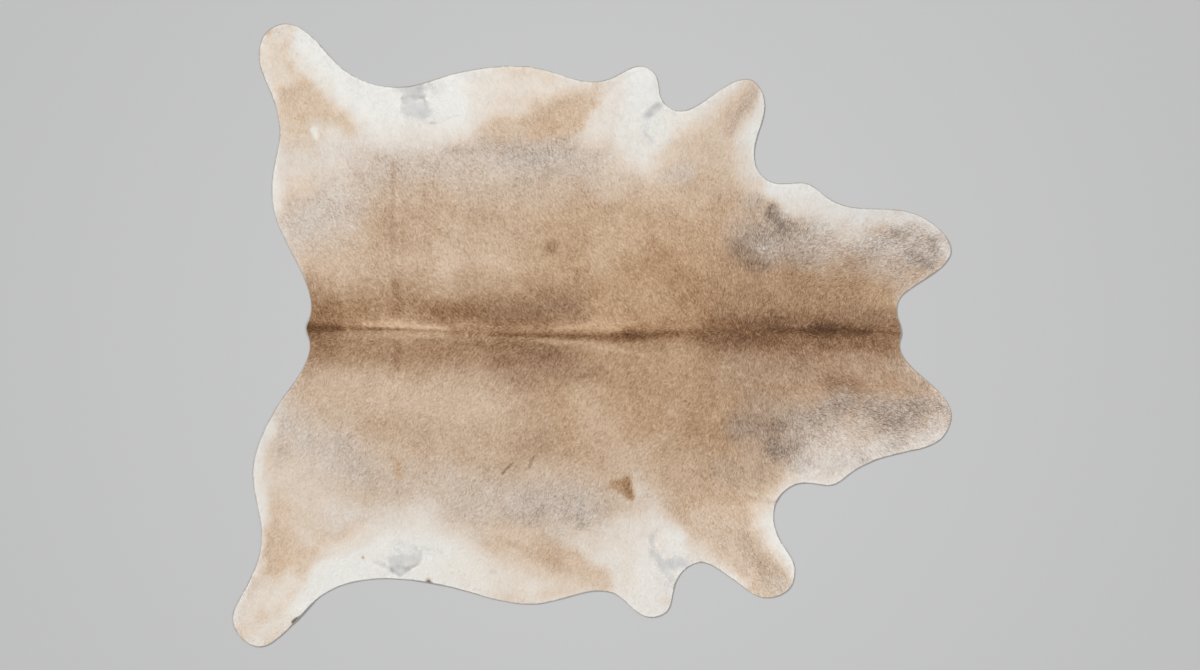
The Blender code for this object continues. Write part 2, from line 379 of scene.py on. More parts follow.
flankStrokes = {
    "ash up": (170, 540, 940, 545, 85, 90, 39.5, 68, 90, 90),
    "ash up grey": (680, 580, 790, 540, 42, 55, 46.5, 85, 70),
    "ash up low": (480, 455, 960, 460, 45, 45, 45, 30, 50),
    "ash up far": (760, 470, 850, 450, 34, 34, 50, 20, 50),
    "pale up mid": (428, 518, 520, 480, 34, 30, 37, 50, 50),
    "pale up": (1000, 500, 1110, 500, 60, 60, 34, 35, 75),
    "tan up": (345, 440, 372, 436, 38, 38, 50, 10, 55),
    "ash low": (480, -530, 900, -560, 75, 85, 39.5, 60, 90, 90),
    "ash low grey": (700, -560, 890, -575, 45, 50, 45, 75, 70),
    "pale low back": (490, -520, 545, -545, 36, 36, 36, 60, 50),
    "ash low left": (110, -440, 460, -500, 75, 75, 40.5, 42, 85, 90),
    "pale low": (790, -655, 876, -650, 34, 36, 32.5, 50, 70),
    "pale low fore": (950, -645, 1000, -632, 34, 36, 24, 70, 60),
    "tan low end": (1010, -400, 1080, -420, 50, 50, 44, 10, 80),
    "pale low end": (1060, -500, 1110, -550, 46, 52, 30, 50, 85),
    "pale low mid": (460, -630, 560, -660, 40, 34, 27, 50, 80),
}

rumpStrokes = {
    "ash up": (-20, 330, 100, 400, 75, 95, 32.5, 80, 90, 90),
    "ash low": (-50, -300, 60, -400, 75, 100, 34.5, 60, 90, 90),
    "grey low": (122, -385, 180, -445, 44, 48, 44, 75, 55),
    "grey low spot": (-2, -332, 12, -362, 24, 22, 43, 80, 55),
    "pale up": (-50, 530, 90, 560, 85, 70, 22, 50, 90, 90),
    "pale low": (-90, -460, 40, -570, 80, 85, 25, 25, 85, 90),
    "spot": (-8, 452, 0, 448, 22, 22, 32, 10, 60),
    "edge up": (-112, 400, -104, 560, 34, 34, 13, 35, 90, 90),
    "edge low": (-158, -360, -146, -600, 34, 30, 11, 20, 90, 90),
    "edge low top": (-134, -336, -102, -296, 28, 22, 14, 40, 85),
    "grey low side": (-70, -345, -62, -415, 18, 18, 38, 70, 50),
    "grey low top": (-62, -268, -44, -298, 18, 20, 38, 80, 60),
}

bellyStrokes = {
    "fade low": (120, -590, 400, -585, 45, 40, 22, 65, 75),
    "fade up end": (520, 650, 560, 690, 42, 42, 17, 40, 80),
    "fade up": (90, 620, 420, 600, 42, 42, 20, 70, 75),
    "white up": (170, 775, 520, 795, 96, 100, 6.5, 35, 100, 50),
    "white up low": (250, 690, 470, 700, 80, 74, 6, 35, 95, 85),
    "hind inner white up": (10, 940, 130, 800, 58, 72, 6.5, 30, 100, 60),
    "white low": (130, -750, 460, -760, 88, 95, 7, 30, 100, 50),
    "foot low": (240, -790, 420, -800, 30, 30, 14, 30, 70),
    "white low up": (270, -685, 370, -675, 68, 66, 8, 35, 90, 80),
    "shade low": (250, -772, 330, -788, 16, 14, 16, 100, 60),
    "hind inner white low": (-10, -880, 110, -770, 40, 66, 6, 20, 95, 70),
    "cream up": (600, 800, 860, 800, 72, 40, 16.5, 15, 95, 80),
    "cream up edge": (620, 850, 760, 840, 18, 14, 26, 0, 70),
    "cream low": (560, -780, 860, -840, 85, 45, 18, 20, 95, 70),
    "cream low foot": (780, -832, 965, -838, 24, 28, 36, 0, 80),
    "cream low fore": (862, -772, 900, -796, 26, 26, 30, 0, 60),
    "cream low yellow": (520, -730, 560, -790, 45, 45, 8.5, 0, 60),
}

flapStrokes = {
    "white up": (1065, 840, 1080, 640, 72, 98, 4, 35, 100, 60),
    "white up foot": (1060, 600, 1110, 570, 72, 56, 12, 30, 85),
    "white up pit": (1165, 700, 1140, 640, 42, 40, 7, 30, 90, 90),
    "white low": (1100, -880, 1115, -680, 76, 92, 13, 60, 100, 60),
    "white low rise": (1120, -640, 1140, -740, 26, 26, 20, 50, 70),
    "white low foot": (1030, -640, 1110, -620, 66, 56, 19, 40, 80),
    "white low pit": (1200, -720, 1190, -670, 50, 42, 7, 25, 90, 80),
    "pale up back": (930, 650, 985, 770, 52, 44, 12, 40, 85),
    "pale low back": (880, -690, 940, -740, 42, 42, 14, 40, 80),
    "white low back": (985, -720, 1020, -830, 50, 42, 14, 30, 90, 90),
    "shade low back": (950, -765, 960, -826, 22, 24, 43, 0, 85),
    "tip low": (1090, -890, 1120, -893, 26, 26, 20, 30, 60),
}

hindLegStrokes = {
    "tan up": (-45, 690, 2, 734, 50, 36, 35, 0, 95, 90),
    "tan up deep": (-28, 716, 12, 722, 32, 28, 40, 0, 70),
    "tan up tail": (40, 705, 140, 655, 36, 24, 34, 0, 85, 90),
    "tan up tip": (-95, 905, -70, 820, 30, 36, 22, 15, 90, 90),
    "white up": (-35, 890, 50, 785, 22, 30, 9, 0, 85),
    "pale up side": (-72, 782, -22, 802, 18, 18, 19, 0, 60),
    "tip up": (-70, 965, -80, 940, 28, 26, 12, 10, 80),
    "tan up low": (-60, 630, 10, 615, 32, 30, 28, 20, 70),
    "pale up": (25, 655, 80, 632, 26, 30, 19, 40, 80),
    "edge up": (-140, 930, -108, 730, 18, 24, 15, -10, 85),
    "tan low": (-76, -590, -48, -740, 34, 40, 36.5, 0, 95, 90),
    "tan low deep": (-90, -640, -70, -720, 26, 30, 43, 0, 70),
    "tan low foot": (-58, -752, -46, -806, 32, 28, 41, -20, 85),
    "pale low": (-10, -640, 20, -670, 30, 30, 22, 20, 70),
    "tan low tail": (-20, -745, 140, -640, 28, 22, 34, 0, 85, 90),
    "pale low foot": (80, -690, 210, -640, 22, 24, 14, 10, 70),
    "tan low tip": (-185, -910, -110, -830, 44, 34, 19, 20, 90, 90),
    "white low": (-90, -880, -30, -800, 22, 28, 10, 0, 80),
    "toe low": (-160, -985, -50, -915, 34, 30, 12, 15, 85),
    "edge low": (-226, -930, -140, -660, 14, 16, 12, 10, 80),
    "edge low top": (-150, -772, -132, -735, 16, 16, 15, 10, 60),
}

streakStrokes = {
    "up": (610, 660, 700, 642, 30, 32, 39, 10, 85),
    "up deep": (740, 644, 850, 680, 28, 30, 47.5, -15, 90),
    "up end": (850, 686, 905, 724, 30, 20, 42, 0, 90),
    "up above": (852, 764, 890, 770, 18, 18, 20, 10, 55),
    "cream up foot": (555, 715, 700, 722, 26, 26, 18, 20, 75),
    "up edge": (770, 818, 1000, 822, 17, 18, 30, 0, 75),
    "low": (610, -655, 730, -668, 30, 30, 35, 10, 85),
    "low deep": (756, -688, 850, -722, 27, 28, 47.5, 0, 90),
    "low end": (850, -735, 930, -790, 24, 20, 36.5, 0, 85),
    "low under": (680, -722, 768, -760, 18, 18, 27, 10, 55),
}

foreLegStrokes = {
    "chest up": (1235, 440, 1285, 600, 88, 62, 40.5, 5, 90, 90),
    "chest up mid": (1210, 500, 1250, 560, 40, 40, 36, 20, 70),
    "chest up dark": (1235, 462, 1240, 472, 32, 32, 52, 10, 60),
    "chest up back": (1120, 520, 1130, 560, 34, 34, 34, 20, 50),
    "chest up side": (1350, 480, 1358, 600, 24, 24, 35.5, 15, 60),
    "chest up foot": (1172, 572, 1182, 580, 27, 27, 32, 10, 60),
    "chest olive up": (1195, 592, 1222, 590, 26, 24, 37, 30, 60),
    "chest ash up": (1165, 486, 1215, 500, 26, 30, 36, 80, 60),
    "leg up": (1295, 600, 1400, 750, 56, 42, 35, 12, 95, 90),
    "leg up root": (1272, 592, 1278, 598, 30, 30, 44, 10, 60),
    "leg up deep": (1362, 654, 1448, 764, 25, 23, 45, 45, 85),
    "toe up": (1440, 770, 1450, 790, 20, 16, 46, 40, 60),
    "edge left up": (1215, 682, 1370, 795, 46, 30, 10, 20, 90),
    "edge right up": (1470, 750, 1430, 620, 20, 44, 15, 35, 95, 90),
    "edge right up foot": (1425, 600, 1430, 520, 48, 44, 9, 40, 90, 90),
    "chest up right": (1390, 560, 1435, 440, 34, 30, 23, 30, 80),
    "chest ash up right": (1420, 424, 1440, 418, 22, 20, 50, 80, 55),
    "chest low": (1246, -460, 1312, -610, 88, 74, 50.5, 0, 90, 90),
    "leg low": (1300, -610, 1480, -780, 60, 46, 37.5, 35, 95, 90),
    "chest low foot": (1310, -600, 1350, -640, 34, 32, 47, 15, 60),
    "leg low deep": (1412, -682, 1502, -802, 28, 25, 51, 40, 85),
    "toe low": (1485, -802, 1530, -815, 24, 20, 43, 60, 70),
    "edge left low": (1262, -712, 1390, -800, 34, 20, 19, 20, 85),
    "edge right low": (1566, -760, 1490, -610, 28, 50, 11, 50, 95, 90),
}

upperNeckStrokes = {
    "olive": (1396, 277, 1456, 276, 43, 48, 74, 50, 90),
    "olive rise": (1400, 300, 1440, 390, 45, 45, 46, 45, 70),
    "purple": (1512, 374, 1542, 348, 30, 34, 74, 90, 85),
    "ash": (1480, 285, 1610, 290, 60, 58, 51.5, 85, 85),
    "purple core": (1506, 380, 1536, 344, 26, 24, 74, 90, 70),
    "ash mid": (1620, 270, 1780, 265, 50, 44, 46.5, 70, 80),
    "ash fore": (1765, 292, 1900, 252, 34, 33, 61, 90, 70),
    "ash foot": (1740, 206, 1800, 200, 27, 27, 61, 40, 60),
    "tan foot": (1655, 195, 1668, 198, 22, 22, 60, 10, 50),
    "pale heart": (1478, 264, 1505, 250, 26, 26, 42, 75, 75),
    "olive core": (1398, 274, 1414, 256, 26, 26, 74, 50, 60),
    "olive foot": (1490, 232, 1600, 226, 26, 22, 60, 60, 45),
    "dark foot": (1428, 226, 1468, 218, 20, 20, 70, 50, 60),
    "pale mid": (1660, 355, 1770, 330, 50, 50, 25, 70, 90, 90),
    "grey back": (1630, 340, 1660, 322, 24, 24, 47, 100, 65),
    "pale gap": (1690, 398, 1775, 385, 30, 28, 16, 80, 90),
    "lobe root": (1830, 210, 1900, 190, 40, 36, 46, 55, 80),
    "ash end": (1850, 285, 1950, 262, 45, 46, 43, 95, 90),
    "ash tip": (1970, 235, 2020, 260, 30, 40, 48, 100, 70),
    "pale edge": (1780, 388, 2000, 345, 22, 34, 21, 100, 90),
    "pale tip": (1950, 315, 1975, 310, 24, 24, 28, 100, 60),
    "tip edge": (2000, 340, 2050, 250, 22, 18, 30, 100, 80),
    "lobe spot": (1880, 325, 1925, 316, 20, 22, 54, 100, 70),
    "lobe spot low": (1930, 250, 1985, 222, 18, 17, 58, 95, 70),
    "lobe spot tip": (2008, 288, 2018, 262, 15, 15, 56, 100, 65),
    "shoulder white": (1500, 462, 1640, 430, 40, 44, 6, 35, 100, 80),
    "shoulder pale": (1560, 400, 1660, 380, 36, 40, 14, 60, 90),
}

lowerNeckStrokes = {
    "olive": (1408, -304, 1500, -298, 44, 52, 64, 65, 85),
    "olive foot": (1360, -450, 1460, -430, 45, 50, 57, 35, 75),
    "ash back": (1440, -232, 1560, -240, 32, 34, 56, 60, 50),
    "dark": (1505, -368, 1558, -378, 34, 34, 71, 80, 90),
    "pale spot": (1432, -372, 1450, -367, 22, 22, 50, 40, 50),
    "ash": (1580, -300, 1722, -232, 50, 34, 58, 90, 85),
    "pale": (1620, -430, 1870, -375, 60, 50, 32, 95, 95, 90),
    "pale root": (1610, -350, 1680, -335, 32, 32, 42, 100, 60),
    "pale mid": (1705, -315, 1775, -318, 38, 36, 40, 90, 65),
    "edge": (1795, -402, 1890, -385, 18, 18, 46, 90, 75),
    "ash end": (1800, -260, 1850, -265, 44, 44, 58, 90, 80),
    "ash tip": (1890, -300, 1955, -250, 50, 46, 62, 100, 88),
    "toe": (2020, -228, 2050, -245, 26, 24, 56, 100, 80),
    "tip": (1960, -345, 2040, -320, 36, 28, 33, 100, 90),
    "toe pale": (2012, -288, 2040, -278, 24, 22, 36, 100, 70),
    "shoulder pale": (1450, -565, 1560, -490, 34, 32, 28, 20, 90),
    "shoulder edge": (1560, -490, 1730, -480, 30, 30, 24, 40, 90),
    "corner up": (1900, 130, 1960, 165, 26, 26, 50, 30, 70),
    "corner": (1905, -112, 1972, -160, 28, 26, 57, 35, 80),
}

bandStrokes = {
    "tail": (25, 60, 160, 48, 80, 44, 73.5, -20, 90, 90),
    "tail low": (24, -46, 140, -50, 56, 44, 74, -15, 90, 90),
    "up": (150, 58, 420, 72, 45, 47, 67, -20, 80, 90),
    "up edge": (90, 132, 380, 134, 20, 22, 60, -10, 40),
    "up deep": (425, 62, 650, 62, 38, 48, 75.5, -20, 90, 90),
    "up wide": (650, 70, 840, 80, 60, 62, 71, 5, 85, 90),
    "back tan up": (500, 166, 730, 160, 28, 32, 58.5, -5, 50),
    "up foot": (620, 32, 800, 34, 15, 15, 76, -20, 50),
    "low": (150, -58, 400, -60, 50, 46, 64.5, -20, 80, 90),
    "low edge": (290, -130, 380, -134, 20, 20, 60, -10, 45),
    "low mid": (400, -56, 640, -54, 48, 46, 66.5, -20, 85, 90),
    "low deep": (640, -76, 820, -88, 46, 60, 73, -5, 95, 90),
    "low foot": (690, -146, 965, -126, 38, 32, 65, 0, 70),
    "low near": (540, -36, 720, -46, 14, 16, 76, -20, 45),
    "tail dark": (20, 5, 90, 8, 24, 16, 80, -15, 65),
    "tail edge dark": (0, -52, 8, 62, 9, 9, 84, -28, 80),
    # painted shade in the loin fold where it crosses the dark band
    "loin fold": (295, 150, 299, 62, 13, 13, 75, -15, 60),
    "loin fold low": (300, -35, 298, -108, 13, 12, 74, -15, 60),
}

# The crest: the pale strokes are painted highlight on both slopes of the raised spine; the line,
# wedge and fade strokes are darker hair at the parting with painted shade in its trough; tan,
# withers band and dark tail are the hair's own colour.
crestColourAndPaintedLight = {
    "pale": (190, 24, 300, 20, 5, 12, 50, -28, 70),
    "pale end": (300, 18, 470, 6, 12, 6, 46, -28, 70),
    "pale low": (230, -12, 340, -12, 4, 9, 53, -28, 60),
    "pale low end": (340, -12, 470, -14, 9, 4, 50, -28, 60),
    "tan": (480, 1, 820, -6, 14, 16, 69, -28, 60),
    "withers band": (1050, -4, 1262, -6, 34, 36, 70, -28, 70),
    "pale up": (800, 8, 960, 24, 3, 13, 49, -28, 50),
    "pale up end": (960, 22, 1060, 28, 15, 6, 49, -28, 45),
    "pale foot": (740, -26, 930, -42, 3, 12, 52, -28, 70),
    "pale foot end": (930, -42, 1100, -74, 12, 5, 50, -28, 60),
    "wedge start": (600, -8, 760, -12, 4.5, 6, 80, -28, 85, 90),
    "dark tail": (12, 12, 130, 9, 13, 7, 90, -28, 85),
    "line": (150, 8, 300, 6, 6, 4, 80, -28, 80),
    "line end": (300, 6, 450, 1, 4, 3, 71, -28, 65),
    "line thread": (450, 1, 620, -8, 3, 4, 72, -28, 50),
    "wedge": (740, -11, 870, -14, 4.5, 9, 81, -28, 85),
    "wedge end": (860, -14, 1000, -16, 9, 11, 81, -28, 85),
    "wedge taper": (1000, -15, 1220, -6, 12, 8, 80, -28, 85),
    "wedge dark": (1036, -13, 1082, -11, 12, 12, 86, -28, 80),
    "fade": (1200, -10, 1320, -12, 7, 18, 76, -28, 70),
}

neckBandStrokes = {
    "band": (1330, 0, 1890, -4, 58, 54, 78.5, -5, 85),
    "band up": (1540, 34, 1650, 36, 18, 18, 80, -5, 50),
    "band low": (1660, -42, 1850, -48, 20, 22, 80, -5, 50),
    "whorl": (1350, -10, 1500, 4, 34, 30, 84, -10, 80),
    "line": (1490, 2, 1625, 1, 7, 9, 90, -10, 85),
    "line deep": (1634, 5, 1724, 2, 17, 19, 94, -5, 82),
    "line end": (1735, 0, 1806, -2, 15, 8, 90, -10, 80),
    "line tip": (1806, -2, 1892, -4, 8, 8, 84, 0, 50),
}

stainStrokes = {
    "whole": (990, -484, 1034, -481, 15, 16, 62, -28, 90, 60),
    "mid": (1000, -496, 1030, -504, 15, 16, 64, -28, 85, 80),
    "core": (1036, -478, 1042, -522, 16, 13, 66, -28, 85, 70),
    "foot": (1018, -506, 1046, -530, 14, 10, 67, -28, 85, 80),
    "spike": (1024, -472, 1026, -455, 6, 4, 64, -28, 80, 90),
    "dim spot": (785, 280, 788, 262, 18, 16, 70, 10, 85),
    "rusty streak": (299, -412, 302, -466, 13, 12, 56, -28, 65),
    "purple streak": (880, -530, 890, -625, 9, 10, 54, 90, 60),
}

markStrokes = {
    "hind speck": (22, 641, 52, 622, 9, 6, 42, 0, 60),
    "hind speck left": (-50, 642, 8, 635, 6, 5, 42, -10, 50),
    "hind speck pale": (33, 640, 40, 622, 11, 9, 5, -10, 100, 70),
    "hind red spot": (-116, 955, -114, 950, 7, 7, 55, 0, 70),
    "belly dot": (190, -720, 191, -721, 3.2, 3.2, 95, 100, 90, 80),
    # painted shadow where the cut edge lifts: a dot and a short stroke in the deepest tone
    "edge lift shadow dot": (400, -799, 402, -802, 7, 7, 100, 60, 100, 80),
    "edge lift shadow stroke": (-31, -927, 2, -903, 6, 5, 100, 60, 100, 70),
    "belly smudge": (520, 825, 556, 805, 12, 12, 22, 100, 60),
    "belly smudge back": (410, 790, 440, 775, 12, 12, 22, 100, 60),
    "flap smudge": (1140, -790, 1178, -840, 14, 12, 20, 100, 60),
    "shoulder marks": (1700, 400, 1738, 395, 6, 6, 22, 100, 50),
    "fore leg speck": (1268, -735, 1274, -737, 6, 6, 62, 20, 70),
    "fore leg up mark": (1296, 728, 1304, 732, 7, 7, 26, 100, 60),
    "belly line": (596, -766, 612, -766, 7, 6, 30, 90, 70),
}

# Marks on the skin, and painted light at its folds: the scar and its shade, soiling of the bare
# skin, scratches, painted shade in the creases, the loin fold and the pleats, and painted highlight
# on the ridges beside them
creaseMarksAndPaintedLight = {
    "scar shade": (421, 663, 492, 690, 3, 2.5, 20, 100, 70),
    "scar spot": (405, 664, 419, 664, 5, 4, 26, 100, 80),
    "flank soiled up": (322, 788, 366, 774, 24, 24, 28, 100, 85),
    "flank soiled low": (284, -730, 300, -740, 14, 12, 22, 100, 70),
    "flap soiled up": (1100, 694, 1130, 718, 16, 14, 22, 100, 75),
    "flap soiled low": (1117, -700, 1136, -738, 9, 12, 22, 100, 60),
    # painted shade in the creases of the bare skin, low and up
    "flank crease low": (298, -667, 357, -690, 5, 6, 14, 100, 70),
    "flank crease low turn": (357, -690, 375, -716, 7, 6, 20, 100, 80),
    "flank crease low side": (375, -716, 373, -738, 6, 7, 16, 100, 80),
    "flank crease low back": (366, -742, 306, -779, 5, 7, 30, 100, 90),
    "flank crease low corner": (306, -779, 272, -757, 7, 6, 30, 100, 90),
    "flank crease low tail": (266, -754, 222, -737, 5, 4, 16, 100, 70),
    "flank crease up": (310, 746, 380, 745, 6, 5, 22, 100, 90),
    "flank crease up turn": (380, 745, 393, 724, 5, 6, 20, 100, 70),
    "scratch": (635, -450, 666, -414, 4, 3, 80, 20, 70, 80),
    "second scratch": (720, -430, 741, -399, 4, 3, 78, 20, 70, 80),
    "third scratch": (588, -446, 596, -430, 4, 3, 62, 20, 50),
    # painted shade in the loin fold, and painted highlight on the ridge behind it
    "fold line": (287, 535, 289, 240, 6, 6, 58.5, 20, 50),
    "fold line highlight": (302, 520, 304, 240, 6, 6, 42, 10, 35),
    "fold line side": (262, 500, 264, 300, 4, 4, 56, 20, 40),
    # painted shade in the pleats, and painted highlight on the ridge beside the long pleat
    "pleat line": (1240, -440, 1284, -472, 4, 4, 66, 0, 50),
    "long pleat line": (1400, -521, 1503, -549, 6, 7, 50, 20, 50),
    "long pleat highlight": (1420, -512, 1500, -536, 5, 5, 27, 10, 50),
}

coatStrokes = (
    backStrokes, shoulderStrokes, flankStrokes, rumpStrokes, bellyStrokes, flapStrokes,
    hindLegStrokes, streakStrokes, foreLegStrokes, upperNeckStrokes, lowerNeckStrokes,
    bandStrokes, crestColourAndPaintedLight, neckBandStrokes, stainStrokes, markStrokes, creaseMarksAndPaintedLight,
)

# Where the hair is worn off or never grew, with the same columns but no depth and no ash
bareStrokes = {
    "upper flank": (314, 787, 362, 776, 24, 29, 95, 90),
    "upper flank mid": (322, 756, 382, 752, 14, 12, 86, 90),
    "upper flank join": (318, 736, 392, 722, 15, 18, 85, 90),
    "upper flank fold": (338, 706, 382, 702, 33, 36, 84, 70),
    "upper flank side": (386, 800, 418, 762, 13, 13, 65),
    "upper flank crease": (310, 746, 380, 745, 5, 6, 90),
    "upper flank crease turn": (380, 745, 393, 724, 6, 6, 90),
    "lower flank": (300, -694, 350, -710, 26, 28, 66, 90),
    "lower flank mid": (284, -730, 354, -728, 26, 24, 84, 90),
    "lower flank end": (286, -752, 320, -756, 24, 20, 90, 90),
    "lower flank side": (384, -702, 436, -704, 22, 14, 60),
    "lower flank lip": (228, -742, 275, -756, 9, 12, 70),
    "lower flank crease": (298, -667, 357, -690, 4, 5, 50),
    "lower flank crease turn": (357, -690, 375, -716, 6, 6, 70),
    "lower flank crease side": (375, -716, 373, -738, 6, 6, 60),
    "lower flank crease back": (366, -742, 306, -779, 5, 8, 90),
    "lower flank crease corner": (306, -779, 272, -757, 7, 6, 100),
    "lower flank crease tail": (266, -754, 222, -737, 6, 5, 60),
    "scar": (421, 663, 492, 690, 3.5, 2.5, 60),
    "scar spot": (405, 664, 421, 664, 5, 4, 80),
    "upper flap": (1098, 692, 1132, 720, 20, 17, 95, 90),
    "upper flap line": (1096, 690, 1094, 640, 13, 11, 74),
    "upper flap line foot": (1092, 640, 1109, 609, 12, 11, 72),
    "lower flap hook": (1130, -633, 1108, -654, 8, 11, 62),
    "lower flap line": (1108, -654, 1117, -697, 14, 14, 70),
    "lower flap bend": (1117, -697, 1140, -742, 14, 19, 80),
    "lower flap rise": (1166, -716, 1130, -668, 12, 9, 32),
    "lower flap": (1150, -748, 1214, -744, 27, 23, 90),
    "lower flap foot": (1168, -778, 1186, -812, 22, 17, 68),
}

coatForm = {
    "groundDepth": 0.465,
    "groundAsh": 0.10,
    "leastAsh": 0.22,  # the strokes' ash of 0; below it the tan turns warm
    "warp": ((16.0, 110.0), (7.0, 34.0)),  # how far the strokes' edges wander, and how often
    "markWidth": 16.0,  # marks up to this half width follow only the finer wander,
    "markStray": 0.7,  # and this much of it
    "spineCalm": (0.93, 60.0),  # how much less they wander at the spine, and how near it
    "mottle": ((0.022, 75.0), (0.020, 28.0), (0.018, 13.0)),  # strength and size
    "mottleFull": 0.35,  # depth of colour at which it has its full strength
    "ashMottle": (0.050, 42.0),  # more clouding where the coat is ash
    "fineClouds": (0.8, 0.35),  # its finer part, as shares of that strength and size
    "cloudsFull": 0.5,  # depth of colour at which the clouding has its full strength
    "edgePale": (0.13, 18.0),  # the hair pales towards the cut edge, within these millimetres
    "paleFull": 0.3,  # at this depth of colour and above
    "paleFades": (0.5, 0.2),  # but less from this depth of colour on, over this much more
    "edgeAsh": 0.30,
}


def mapCoat(distance, grid):
    straighter, near = coatForm["spineCalm"]
    calm = 1.0 - straighter * np.exp(-(grid[..., 1] / near) ** 2)
    strayed = [grid]
    for number, (reach, size) in enumerate(coatForm["warp"]):
        first = seeds["warp"] + 2 * number
        noise = [softNoise(grid, size, seed) for seed in (first, first + 1)]
        strayed.append(strayed[-1] + reach * calm[..., None] * np.stack(noise, axis=-1))
    moved = strayed[-1]
    ragged = grid + coatForm["markStray"] * (strayed[2] - strayed[1])
    depth = np.full(plan["count"], coatForm["groundDepth"])
    ash = np.full(plan["count"], coatForm["groundAsh"])
    for strokes in coatStrokes:
        for a0, s0, a1, s1, w0, w1, toDepth, toAsh, *strength in strokes.values():
            points = moved if max(w0, w1) > coatForm["markWidth"] else ragged
            block, cover = brush(points, a0, s0, a1, s1, w0, w1, *strength)
            depth[block] += (toDepth / 100 - depth[block]) * cover
            ash[block] += (toAsh / 100 - ash[block]) * cover
    bare = np.zeros(plan["count"])
    for row in bareStrokes.values():
        block, cover = brush(ragged, *row)
        bare[block] = np.maximum(bare[block], cover)
    for number, (strength, size) in enumerate(coatForm["mottle"]):
        lumps = softNoise(grid, size, seeds["mottle"] + number)
        depth += strength * lumps * smoothStep(depth / coatForm["mottleFull"])
    pale, reach = coatForm["edgePale"]
    edge = np.exp(-np.maximum(distance, 0.0) / reach)
    start, run = coatForm["paleFades"]
    edge *= 1.0 - smoothStep((depth - start) / run)
    depth -= pale * edge * smoothStep(depth / coatForm["paleFull"])
    ash += coatForm["edgeAsh"] * edge
    strength, size = coatForm["ashMottle"]
    fineStrength, fineSize = coatForm["fineClouds"]
    clouds = softNoise(grid, size, seeds["clouds"])
    clouds += fineStrength * softNoise(grid, size * fineSize, seeds["clouds"] + 1)
    depth += strength * clouds * np.clip(ash, 0.0, 1.0) * smoothStep(depth / coatForm["cloudsFull"])
    ash = coatForm["leastAsh"] + (1.0 - coatForm["leastAsh"]) * ash
    return np.clip(depth, 0.0, 1.0), np.clip(ash, 0.0, 1.0), bare


print("maps being made")
grid = mapPoints()
solidPoints, solidFaces = readSolid(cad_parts["hide"])
solidOutline = chainOutline(solidPoints, solidFaces)
outline = wobbled(roundOff(solidOutline, outlineShape["step"]))
inside = mapInside(outline)
distance = mapEdgeDistance(outline, inside, grid)
lift = mapLift(solidPoints, solidFaces, inside, distance, grid)
lift = addFolds(lift, distance, grid)
depth, ash, bare = mapCoat(distance, grid)
print("maps made:", len(outline), "edge points,", round(float(lift.max()), 1), "mm highest lift")


# The skin itself: one closed sheet, finer where it is folded.
sheetShape = {
    "step": 4.5,  # between the finest points
    "topEvery": 2,  # one point in so many, away from folds
    "backEvery": 4,
    "rowGap": 0.866,  # of the step, for triangles of equal sides
    "spineBand": 26.0,  # half width of the raised line, whose middle runs along
    "spineAlong": (0, 430, 620, 770, 950, 1170, 1365, 1900),
    "spineSide": (8, 2, -8, -13, -12, -5, 0, 0),
    "bareFrom": 0.15,
    "edgeGap": 0.7,  # of the gap between points, clear of the edge points
    "merge": 1e-4,  # points closer than this count as one
    "leastTurn": 1e-3,  # a triangle flatter than this is left out
    "sharp": 50,  # degrees
}

# Where the faces lie on the map for the bake: the hair side large, the back small beside it
bakeMap = {
    "reach": (1.0, 1.16),  # metres from the middle
    "hairSide": ((0.70, 0.81), (0.005, 0.005)),  # size and first corner
    "backSide": ((0.27, 0.31), (0.72, 0.005)),
    "rimHeight": 0.0006,
}


def sheetPoints(every, fine):
    # a triangular net of points inside the outline, closer where fine says
    step = sheetShape["step"]
    rows = int((plan["count"][1] * plan["cell"]) / (step * sheetShape["rowGap"]))
    columns = int((plan["count"][0] * plan["cell"]) / step)
    column, row = np.meshgrid(np.arange(columns), np.arange(rows), indexing="ij")
    along = plan["low"][0] + (column + 0.5 * (row % (2 * every) // every)) * step
    side = plan["low"][1] + row * step * sheetShape["rowGap"]
    points = np.stack((along, side), axis=-1).reshape(-1, 2)
    keep = ((column % every == 0) & (row % every == 0)).ravel()
    keep |= fine(points)
    clear = np.where(keep, sheetShape["edgeGap"] * step * every, 0.0)
    return points[keep & (readMap(distance, points) > clear)]


def nearSpine(points):
    middle = np.interp(points[:, 0], sheetShape["spineAlong"], sheetShape["spineSide"])
    return np.abs(points[:, 1] - middle) < sheetShape["spineBand"]


def nearBareSkin(points):
    return readMap(bare, points) > sheetShape["bareFrom"]


def fill(loop, points):
    # triangles between the loop and the points inside it
    every = np.vstack((loop, points))
    count = len(loop)
    edges = [(k, (k + 1) % count) for k in range(count)]
    spots = [Vector(point) for point in every]
    placed = delaunay_2d_cdt(spots, edges, [], 0, sheetShape["merge"])
    if len(placed[0]) != len(every):
        raise RuntimeError("the sheet's points ran together")
    faces = np.array(placed[2])
    corners = every[faces]
    middle = corners.mean(axis=1)
    first, second = corners[:, 1] - corners[:, 0], corners[:, 2] - corners[:, 0]
    turn = first[:, 0] * second[:, 1] - first[:, 1] * second[:, 0]
    kept = (np.abs(turn) > sheetShape["leastTurn"]) & insideLoop(loop, middle)
    faces, turn = faces[kept], turn[kept]
    faces[turn < 0] = faces[turn < 0][:, ::-1]
    return every, faces


def insideLoop(loop, points):
    # only the triangles near the edge need the exact test
    result = readMap(distance, points) > 0
    near = np.abs(readMap(distance, points)) < 2 * outlineShape["step"]
    ends = np.roll(loop, -1, 0)
    for number in np.nonzero(near)[0]:
        along, side = points[number]
        spans = (loop[:, 1] > side) != (ends[:, 1] > side)
        a, b = loop[spans], ends[spans]
        cross = a[:, 0] + (side - a[:, 1]) * (b[:, 0] - a[:, 0]) / (b[:, 1] - a[:, 1])
        result[number] = (cross > along).sum() % 2 == 1
    return result


